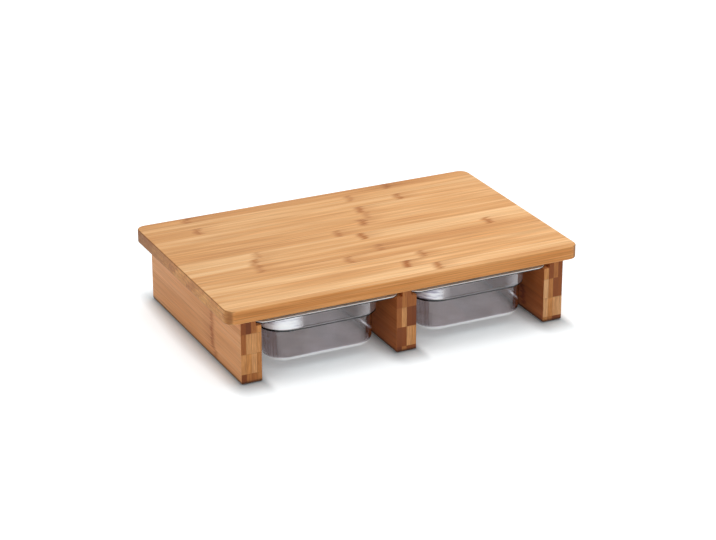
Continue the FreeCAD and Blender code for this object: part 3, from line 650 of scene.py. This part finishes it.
def make_tray_tree():
    """A tree that lofts a tray from rings: each point of the wall's section gives one rounded rectangle.

    In the section X is the distance outwards from the upright band's line and Y is the height.
    """
    tree = bpy.data.node_groups.new("moulded_tray", "GeometryNodeTree")
    tree.interface.new_socket("Geometry", in_out="INPUT", socket_type="NodeSocketGeometry")
    for name in ("Bay Centre", *TRAY_SIZES):
        tree.interface.new_socket(name, in_out="INPUT", socket_type="NodeSocketFloat")
    tree.interface.new_socket("Plastic", in_out="INPUT", socket_type="NodeSocketMaterial")
    tree.interface.new_socket("Geometry", in_out="OUTPUT", socket_type="NodeSocketGeometry")
    given = add(tree, "NodeGroupInput").node.outputs
    wall, rounding = given["Wall"], given["Flange Rounding"]
    floor, shoulder, flange = given["Floor Height"], given["Shoulder Height"], given["Flange Height"]
    side, bend = given["Flange Side"], given["Shoulder Rounding"]

    body = add(tree, "ShaderNodeMath", {0: given["Shoulder Width"], 1: -1.0}, operation="MULTIPLY")
    foot = add(tree, "ShaderNodeMath", {0: body, 1: given["Draft Inset"]}, operation="SUBTRACT")
    centre = add(tree, "ShaderNodeMath", {0: foot, 1: given["Floor Rounding"]}, operation="SUBTRACT")
    inner_band = add(tree, "ShaderNodeMath", {0: wall, 1: -1.0}, operation="MULTIPLY")
    inner_body, inner_foot, inner_rounding = (
        add(tree, "ShaderNodeMath", {0: outer, 1: wall}, operation="SUBTRACT")
        for outer in (body, foot, given["Floor Rounding"])
    )
    basin, ledge, rim = (
        add(tree, "ShaderNodeMath", {0: under, 1: wall}, operation="ADD")
        for under in (floor, shoulder, flange)
    )
    # Each corner of the section is (outwards, height, rounding).
    corners = [
        (centre, floor, 0.0),
        (foot, floor, given["Floor Rounding"]),
        (body, shoulder, bend),
        (0.0, shoulder, bend),
        (0.0, flange, given["Root Rounding"]),
        (side, flange, rounding),
        (side, rim, rounding),
        (inner_band, rim, rounding),
        (inner_band, ledge, rounding),
        (inner_body, ledge, bend),
        (inner_foot, basin, inner_rounding),
        (centre, basin, 0.0),
    ]
    index = add(tree, "GeometryNodeInputIndex")
    corner_place = add(tree, "GeometryNodeIndexSwitch", {"Index": index}, data_type="VECTOR").node
    corner_radius = add(tree, "GeometryNodeIndexSwitch", {"Index": index}, data_type="FLOAT").node
    for switch in (corner_place, corner_radius):
        while len(switch.index_switch_items) < len(corners):
            switch.index_switch_items.new()
    # A switch's first input is the index, and its items follow.
    for number, (outwards, height, radius) in enumerate(corners, 1):
        place = add(tree, "ShaderNodeCombineXYZ", {0: outwards, 1: height})
        tree.links.new(place, corner_place.inputs[number])
        if isinstance(radius, float):
            corner_radius.inputs[number].default_value = radius
        else:
            tree.links.new(radius, corner_radius.inputs[number])
    line = add(tree, "GeometryNodeMeshLine", {"Count": len(corners)})
    line = add(tree, "GeometryNodeSetPosition", {"Geometry": line, "Position": corner_place.outputs[0]})
    line = add(tree, "GeometryNodeMeshToCurve", {0: line})
    section = add(tree, "GeometryNodeFilletCurve", {
        "Curve": line, "Count": ROUNDING_POINTS, "Radius": corner_radius.outputs[0], "Limit Radius": True,
    }, mode="POLY")
    rings = add(tree, "GeometryNodeAttributeDomainSize", {0: section}, component="CURVE")

    # Each column of the grid is one copy of the section, and each row becomes a ring.
    around = 4 * CORNER_POINTS
    grid = add(tree, "GeometryNodeMeshGrid", {"Vertices X": around + 1, "Vertices Y": rings})
    column = add(tree, "ShaderNodeMath", {0: index, 1: rings}, operation="DIVIDE")
    column = add(tree, "ShaderNodeMath", {0: column}, operation="FLOOR")
    column = add(tree, "ShaderNodeMath", {0: column, 1: float(around)}, operation="MODULO")
    row = add(tree, "ShaderNodeMath", {0: index, 1: rings}, operation="MODULO")
    point = add(tree, "GeometryNodeSampleIndex", {
        "Geometry": section, "Value": add(tree, "GeometryNodeInputPosition"), "Index": row,
    }, data_type="FLOAT_VECTOR")
    point = add(tree, "ShaderNodeSeparateXYZ", {0: point}).node.outputs
    quarter = add(tree, "ShaderNodeMath", {0: column, 1: float(CORNER_POINTS)}, operation="DIVIDE")
    quarter = add(tree, "ShaderNodeMath", {0: quarter}, operation="FLOOR")
    step = add(tree, "ShaderNodeMath", {0: column, 1: float(CORNER_POINTS)}, operation="MODULO")
    turn = add(tree, "ShaderNodeMath", {0: step, 1: float(CORNER_POINTS - 1)}, operation="DIVIDE")
    angle = add(tree, "ShaderNodeMath", {0: quarter, 1: turn}, operation="ADD")
    angle = add(tree, "ShaderNodeMath", {0: angle, 1: math.pi / 2}, operation="MULTIPLY")
    middle_angle = add(tree, "ShaderNodeMath", {0: quarter, 1: 0.5}, operation="ADD")
    middle_angle = add(tree, "ShaderNodeMath", {0: middle_angle, 1: math.pi / 2}, operation="MULTIPLY")

    # Inside the band's line the rings are all the same distance apart. The flange is wider at the sides.
    inside = add(tree, "ShaderNodeMath", {0: point[0], 1: 0.0}, operation="MINIMUM")
    spread = add(tree, "ShaderNodeMath", {0: side, 1: rounding}, operation="SUBTRACT")
    share = add(tree, "ShaderNodeMapRange", {0: point[0], 2: spread})
    last = add(tree, "ShaderNodeMath", {0: point[0], 1: spread}, operation="SUBTRACT")
    last = add(tree, "ShaderNodeMath", {0: last, 1: 0.0}, operation="MAXIMUM")
    narrow = add(tree, "ShaderNodeMath", {0: given["Flange End"], 1: rounding}, operation="SUBTRACT")
    end_reach = add(tree, "ShaderNodeMath", {0: share, 1: narrow, 2: last}, operation="MULTIPLY_ADD")
    end_reach = add(tree, "ShaderNodeMath", {0: end_reach, 1: inside}, operation="ADD")
    band_radius = given["Band Radius"]
    shrink = add(tree, "ShaderNodeMath", {0: given["Flange Radius"], 1: band_radius}, operation="SUBTRACT")
    shrink = add(tree, "ShaderNodeMath", {0: shrink, 1: rounding}, operation="SUBTRACT")
    radius = add(tree, "ShaderNodeMath", {0: share, 1: shrink, 2: band_radius}, operation="MULTIPLY_ADD")
    radius = add(tree, "ShaderNodeMath", {0: radius, 1: last}, operation="ADD")
    radius = add(tree, "ShaderNodeMath", {0: radius, 1: inside}, operation="ADD")

    sides = []
    for half, reach, wave in (
        (given["Band Half Width"], point[0], "COSINE"), (given["Band Half Length"], end_reach, "SINE"),
    ):
        arm = add(tree, "ShaderNodeMath", {0: half, 1: reach}, operation="ADD")
        arm = add(tree, "ShaderNodeMath", {0: arm, 1: radius}, operation="SUBTRACT")
        sign = add(tree, "ShaderNodeMath", {0: middle_angle}, operation=wave)
        sign = add(tree, "ShaderNodeMath", {0: sign}, operation="SIGN")
        arc = add(tree, "ShaderNodeMath", {0: angle}, operation=wave)
        arc = add(tree, "ShaderNodeMath", {0: arc, 1: radius}, operation="MULTIPLY")
        sides.append(add(tree, "ShaderNodeMath", {0: arm, 1: sign, 2: arc}, operation="MULTIPLY_ADD"))
    # The first and the last ring close to a point, in the middle of the floor.
    past_start = add(tree, "ShaderNodeMath", {0: row, 1: 0.5}, operation="GREATER_THAN")
    rest = add(tree, "ShaderNodeMath", {0: rings, 1: 1.5}, operation="SUBTRACT")
    before_end = add(tree, "ShaderNodeMath", {0: row, 1: rest}, operation="LESS_THAN")
    is_open = add(tree, "ShaderNodeMath", {0: past_start, 1: before_end}, operation="MULTIPLY")
    x, y = (add(tree, "ShaderNodeMath", {0: side, 1: is_open}, operation="MULTIPLY") for side in sides)
    in_bay = add(tree, "ShaderNodeMath", {0: x, 1: given["Bay Centre"]}, operation="ADD")
    place = add(tree, "ShaderNodeCombineXYZ", {0: in_bay, 1: y, 2: point[1]})
    shell = add(tree, "GeometryNodeSetPosition", {"Geometry": grid, "Position": place})
    # The plastic's material reads how far outwards a point is, and how far across from the tray's middle.
    for name, value in (("outwards", point[0]), ("across", x)):
        shell = add(tree, "GeometryNodeStoreNamedAttribute", {
            "Geometry": shell, "Name": name, "Value": value,
        })
    shell = add(tree, "GeometryNodeMergeByDistance", {"Geometry": shell, "Distance": WELD})
    shell = add(tree, "GeometryNodeSetShadeSmooth", {"Geometry": shell})
    shell = add(tree, "GeometryNodeRealizeInstances", {0: shell})
    shell = add(tree, "GeometryNodeSetMaterial", {"Geometry": shell, "Material": given["Plastic"]})
    add(tree, "NodeGroupOutput", {"Geometry": shell})
    return tree


def make_tray(side, plastic):
    """Runs the tray tree for one side, and makes the shell a plain mesh that replaces the CAD tray."""
    node = f"{side}_tray"
    low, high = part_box(node)
    values = {name: size * MM for name, size in TRAY_SIZES.items()}
    values["Bay Centre"] = (low.x + high.x) / 2
    values["Plastic"] = plastic
    source = new_object("tray_source", bpy.data.meshes.new("tray_source"))
    modifier = source.modifiers.new("moulded_tray", "NODES")
    modifier.node_group = TRAY_TREE
    for item in TRAY_TREE.interface.items_tree:
        if item.in_out == "INPUT" and item.name in values:
            modifier[item.identifier] = values[item.name]
    source.modifiers.new("weighted_normals", "WEIGHTED_NORMAL")
    graph = bpy.context.evaluated_depsgraph_get()
    mesh = bpy.data.meshes.new_from_object(source.evaluated_get(graph), depsgraph=graph)
    bpy.data.objects.remove(source)
    # A grid starts with an empty material slot, which nothing uses any more.
    mesh.materials.pop(index=0)
    tray = new_object(f"{side}_tray_shell", mesh)
    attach(tray, node)
    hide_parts(node)


# --- pieces -------------------------------------------------------------------------------

def finish_node(name, material):
    nodes[name].data.materials.clear()
    nodes[name].data.materials.append(material)


finish_node("cutting_board", board_bamboo())
for name, first_joint, seed, knuckles, inner_faces in (
    ("left_leg", 14.0, 294478.0, (OFF_BOARD, -44, -44, -52), [1.0]),
    ("middle_leg", 18.5, 110895.0, (20, -60, 45, -15), [-1.0, 1.0]),
    ("right_leg", 18.8, 135432.0, (-30, 70, -75, 10), [-1.0]),
):
    finish_node(name, leg_bamboo(name, first_joint, seed, knuckles, inner_faces))
beech, rubber, plastic = dowel_beech(), pad_rubber(), clear_plastic()
TRAY_TREE = make_tray_tree()
for side in ("left", "right"):
    make_tray(side, plastic)
for name in nodes:
    if "dowel" in name:
        finish_node(name, beech)
    elif "pad" in name:
        finish_node(name, rubber)


# --- floor, light and camera ---------------------------------------------------------------

# The floor's own light, and how far from a leg it starts and is full.
PAPER_GLOW = 0.49
SHADE = (1.0 * MM, 22.0 * MM)
# A distance from a leg counts this many times over close to the leg's right side, at the ends of the
# leg and past its ends, which makes the shade narrower or wider there.
AT_RIGHT_SIDE, AT_ENDS, PAST_ENDS = 2.2, 1.35, 0.7


def make_floor():
    """A plain white floor that keeps the shadow of the object, with painted shadow close to the legs and
    under the board.
    """
    mesh = bpy.data.meshes.new("floor")
    corners = [(x * FLOOR_REACH, y * FLOOR_REACH, 0) for x, y in ((-1, -1), (1, -1), (1, 1), (-1, 1))]
    mesh.from_pydata(corners, [], [(0, 1, 2, 3)])
    floor = new_object("floor", mesh)
    material, tree = new_material("white_paper")
    # The paper's own light fades close to a leg and under the board: painted shadow, which keeps these
    # shadows dark.
    place = add(tree, "ShaderNodeTexCoord", output="Object")
    sideways = add(tree, "ShaderNodeSeparateXYZ", {0: place})
    place = add(tree, "ShaderNodeVectorMath", {0: place}, operation="ABSOLUTE")
    across, along = add(tree, "ShaderNodeSeparateXYZ", {0: place}).node.outputs[:2]
    leg_low, leg_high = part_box("right_leg")
    half_leg = (leg_high.x - leg_low.x) / 2
    leg_middle = leg_low.x + half_leg
    to_leg = add(tree, "ShaderNodeMath", {0: across, 1: leg_middle}, operation="SUBTRACT")
    to_leg = add(tree, "ShaderNodeMath", {0: to_leg}, operation="ABSOLUTE")
    to_leg = add(tree, "ShaderNodeMath", {0: to_leg, 1: across}, operation="MINIMUM")
    to_leg = add(tree, "ShaderNodeMath", {0: to_leg, 1: half_leg}, operation="SUBTRACT")
    to_leg = add(tree, "ShaderNodeMath", {0: to_leg, 1: 0.0}, operation="MAXIMUM")
    past_leg = add(tree, "ShaderNodeMath", {0: sideways, 1: leg_middle}, operation="FLOORED_MODULO")
    right_side = add(tree, "ShaderNodeMapRange", {
        0: past_leg, 1: half_leg, 2: 5.0 * half_leg, 3: AT_RIGHT_SIDE, 4: 1.0,
    })
    at_ends = add(tree, "ShaderNodeMapRange", {
        0: along, 1: 20.0 * MM, 2: leg_high.y, 3: 1.0, 4: AT_ENDS,
    })
    for factor in (right_side, at_ends):
        to_leg = add(tree, "ShaderNodeMath", {0: to_leg, 1: factor}, operation="MULTIPLY")
    past_end = add(tree, "ShaderNodeMath", {0: along, 1: leg_high.y}, operation="SUBTRACT")
    past_end = add(tree, "ShaderNodeMath", {0: past_end, 1: 0.0}, operation="MAXIMUM")
    past_end = add(tree, "ShaderNodeMath", {0: past_end, 1: PAST_ENDS}, operation="MULTIPLY")
    away = add(tree, "ShaderNodeCombineXYZ", {0: to_leg, 1: past_end})
    away = add(tree, "ShaderNodeVectorMath", {0: away}, output="Value", operation="LENGTH")
    level = add(tree, "ShaderNodeMapRange", {0: away, 1: SHADE[0], 2: SHADE[1], 4: PAPER_GLOW})
    before = add(tree, "ShaderNodeMapRange", {0: along, 1: 100.0 * MM, 2: 135.0 * MM, 3: 0.5})
    beside = add(tree, "ShaderNodeMapRange", {0: across, 1: leg_high.x - 10.0 * MM, 2: leg_high.x})
    outside = add(tree, "ShaderNodeMath", {0: before, 1: beside}, operation="MAXIMUM")
    level = add(tree, "ShaderNodeMath", {0: level, 1: outside}, operation="MULTIPLY")
    level = add(tree, "ShaderNodeMath", {0: level, 1: seen_directly(tree)}, operation="MULTIPLY")
    paper = add(tree, "ShaderNodeBsdfDiffuse", {"Color": linear("#e8f0f4")})
    glow = add(tree, "ShaderNodeEmission", {"Color": linear("#ffffff"), "Strength": level})
    surface = add(tree, "ShaderNodeAddShader", {0: paper, 1: glow})
    add(tree, "ShaderNodeOutputMaterial", {"Surface": surface})
    mesh.materials.append(material)


def make_world():
    """An even white surround. As light on the object it is half as strong as it looks."""
    world = bpy.data.worlds.new("studio")
    bpy.context.scene.world = world
    world.use_nodes = True
    tree = world.node_tree
    tree.nodes.clear()
    strength = add(tree, "ShaderNodeMapRange", {0: seen_directly(tree), 3: 0.5, 4: 1.0})
    sky = add(tree, "ShaderNodeBackground", {"Color": linear("#ffffff"), "Strength": strength})
    add(tree, "ShaderNodeOutputWorld", {"Surface": sky})


def aim(holder, place, target):
    holder.location = place
    holder.rotation_euler = (target - place).to_track_quat("-Z", "Y").to_euler()


def make_lamp(name, place, size, power):
    lamp = bpy.data.lights.new(name, "AREA")
    lamp.shape = "SQUARE"
    lamp.size = size
    lamp.energy = power
    aim(new_object(name, lamp), Vector(place), LAMP_TARGET)


def make_camera():
    camera = bpy.data.cameras.new("camera")
    camera.sensor_fit = "HORIZONTAL"
    camera.sensor_width = 36.0
    camera.lens = CAMERA_LENS
    holder = new_object("camera", camera)
    aim(holder, CAMERA_PLACE, CAMERA_TARGET)
    bpy.context.scene.camera = holder


make_floor()
make_world()
make_lamp("softbox_overhead", (0.25, 0.35, 1.9), size=1.6, power=18.5)
make_lamp("softbox_front_left", (-1.02, -1.84, 0.35), size=0.28, power=6.0)
make_camera()
bpy.context.scene.view_settings.view_transform = "Standard"
